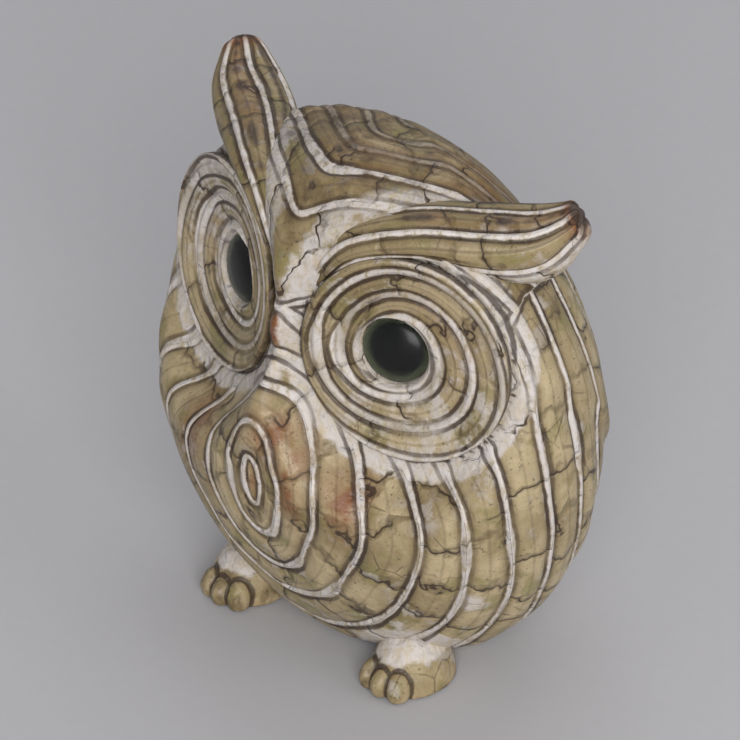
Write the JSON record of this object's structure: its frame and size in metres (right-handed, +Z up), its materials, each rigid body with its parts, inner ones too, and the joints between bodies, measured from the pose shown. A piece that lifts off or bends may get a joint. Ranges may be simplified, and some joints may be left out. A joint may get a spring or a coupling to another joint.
{
  "type": "owl figurine",
  "caption": "Free-standing owl figurine: egg-shaped hollow casting with brow tufts, dished facial discs, domed glass eyes, feet and felt pads.",
  "frame": {"origin": "middle of the bounding box's underside, on the surface the owl stands on", "axes": "+Z up, the owl faces -Y, +X to the owl's left; mirrored about the plane x = 0"},
  "size_m": [0.102, 0.0739, 0.1142],
  "materials": {
    "painted_resin": "satin, carved look, olive brown with whitewashed grooves",
    "eye_glass": "polished clear dome",
    "eye_paint": "black pupil with a dark green rim",
    "felt": "pressed felt",
    "plug": "matte"
  },
  "bodies": {
    "root": {"body_casting": "painted_resin", "left_facial_disc": "painted_resin", "right_facial_disc": "painted_resin", "left_foot": "painted_resin", "right_foot": "painted_resin", "left_eye_iris": "eye_paint", "right_eye_iris": "eye_paint", "left_eye_glass": "eye_glass", "right_eye_glass": "eye_glass", "base_plug": "plug", "base_pad": "felt", "left_foot_pad": "felt", "right_foot_pad": "felt"}
  },
  "joints": []
}
